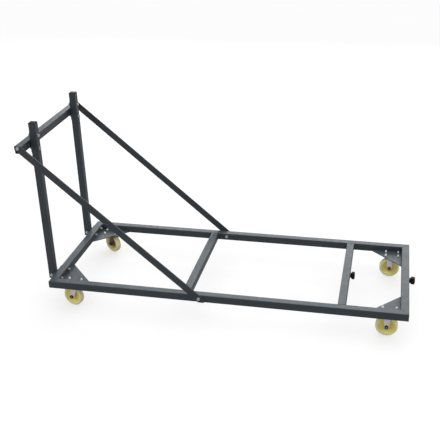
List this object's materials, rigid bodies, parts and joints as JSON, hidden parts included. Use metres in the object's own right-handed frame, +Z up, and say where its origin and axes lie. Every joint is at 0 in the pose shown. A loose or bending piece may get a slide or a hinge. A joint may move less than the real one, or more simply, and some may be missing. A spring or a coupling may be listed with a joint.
{
  "type": "folding table trolley",
  "caption": "Slate-painted square-tube trolley for folding tables: long open base on olive-yellow casters, tall uprights with a push handle at one end, braced by slanting flat stays.",
  "frame": {"origin": "on the floor, under the middle of the overall length and width", "axes": "+X from the push handle to the open end, +Y across to the far rail, +Z up"},
  "size_m": [1.852, 0.7178, 0.95],
  "materials": {
    "painted_steel": "dark slate grey powder coat, slightly textured, low sheen",
    "zinc_steel": "bright zinc plating, slightly cloudy",
    "black_steel": "black oxide, satin",
    "black_plastic": "moulded black plastic, fine grain",
    "tread": "dull olive-grey polyurethane tread",
    "wheel_plastic": "olive-yellow moulded plastic, semi-gloss"
  },
  "bodies": {
    "frame": {"rail_near": "painted_steel", "rail_far": "painted_steel", "end_bar_left": "painted_steel", "end_bar_right": "painted_steel", "crossbar_mid": "painted_steel", "crossbar_right": "painted_steel", "corner_plate_left_near": "painted_steel", "corner_plate_left_far": "painted_steel", "corner_plate_right_near": "painted_steel", "corner_plate_right_far": "painted_steel", "upright_near": "painted_steel", "upright_far": "painted_steel", "handle_plate_near": "painted_steel", "handle_plate_far": "painted_steel", "handle_bar": "painted_steel", "stay_near": "painted_steel", "stay_far": "painted_steel", "foot_bracket_near": "painted_steel", "foot_bracket_far": "painted_steel", "foot_bolt_near": "zinc_steel", "foot_bolt_far": "zinc_steel", "handle_bolt_lower_near": "zinc_steel", "handle_bolt_upper_near": "zinc_steel", "handle_bolt_lower_far": "zinc_steel", "handle_bolt_upper_far": "zinc_steel", "stay_foot_bolt_near": "zinc_steel", "stay_foot_bolt_far": "zinc_steel", "stay_top_bolt_near": "zinc_steel", "stay_top_bolt_far": "zinc_steel", "fixed_fork_near": "zinc_steel", "fixed_fork_far": "zinc_steel", "kingpin_plate_near": "zinc_steel", "kingpin_plate_far": "zinc_steel", "knob_insert_end": "zinc_steel", "knob_insert_crossbar": "zinc_steel", "upright_cap_near": "black_plastic", "upright_cap_far": "black_plastic", "handle_plug_near": "black_plastic", "handle_plug_far": "black_plastic", "axle_right_near": "black_steel", "axle_right_far": "black_steel"},
    "swivel_near": {"swivel_fork_near": "zinc_steel", "axle_left_near": "black_steel"},
    "swivel_far": {"swivel_fork_far": "zinc_steel", "axle_left_far": "black_steel"},
    "wheel_left_near": {"tyre_left_near": "tread", "wheel_hub_left_near": "wheel_plastic"},
    "wheel_left_far": {"tyre_left_far": "tread", "wheel_hub_left_far": "wheel_plastic"},
    "wheel_right_near": {"tyre_right_near": "tread", "wheel_hub_right_near": "wheel_plastic"},
    "wheel_right_far": {"tyre_right_far": "tread", "wheel_hub_right_far": "wheel_plastic"},
    "stud_end": {"knob_stud_end": "zinc_steel"},
    "stud_crossbar": {"knob_stud_crossbar": "zinc_steel"},
    "knob_end": {"knob_end": "black_plastic"},
    "knob_crossbar": {"knob_crossbar": "black_plastic"}
  },
  "joints": [
    {"name": "swivel_near_turn", "type": "hinge", "parent": "frame", "child": "swivel_near", "pos_m": [-0.727, -0.287, 0.1065], "axis": [0, 0, 1], "continuous": true},
    {"name": "wheel_left_near_spin", "type": "hinge", "parent": "swivel_near", "child": "wheel_left_near", "pos_m": [-0.75341, -0.28139, 0.052], "axis": [0.2079, 0.9781, 0], "continuous": true},
    {"name": "wheel_right_near_spin", "type": "hinge", "parent": "frame", "child": "wheel_right_near", "pos_m": [0.802, -0.281, 0.052], "axis": [0, 1, 0], "continuous": true},
    {"name": "swivel_far_turn", "type": "hinge", "parent": "frame", "child": "swivel_far", "pos_m": [-0.727, 0.287, 0.1065], "axis": [0, 0, 1], "continuous": true},
    {"name": "wheel_left_far_spin", "type": "hinge", "parent": "swivel_far", "child": "wheel_left_far", "pos_m": [-0.75038, 0.3005, 0.052], "axis": [0.5, 0.866, 0], "continuous": true},
    {"name": "wheel_right_far_spin", "type": "hinge", "parent": "frame", "child": "wheel_right_far", "pos_m": [0.802, 0.281, 0.052], "axis": [0, 1, 0], "continuous": true},
    {"name": "knob_end_travel", "type": "slide", "parent": "frame", "child": "stud_end", "axis": [1, 0, 0], "range_m": [0, 0.00375]},
    {"name": "knob_end_turn", "type": "hinge", "parent": "stud_end", "child": "knob_end", "pos_m": [0.898, 0, 0.1395], "axis": [1, 0, 0], "range_deg": [0, 1080]},
    {"name": "knob_crossbar_travel", "type": "slide", "parent": "frame", "child": "stud_crossbar", "axis": [1, 0, 0], "range_m": [0, 0.00375]},
    {"name": "knob_crossbar_turn", "type": "hinge", "parent": "stud_crossbar", "child": "knob_crossbar", "pos_m": [0.6105, 0, 0.1395], "axis": [1, 0, 0], "range_deg": [0, 1080]}
  ],
  "couplings": [
    {"joint": "knob_end_travel", "follows": "knob_end_turn", "m_per_rad": 0.00019894},
    {"joint": "knob_crossbar_travel", "follows": "knob_crossbar_turn", "m_per_rad": 0.00019894}
  ]
}
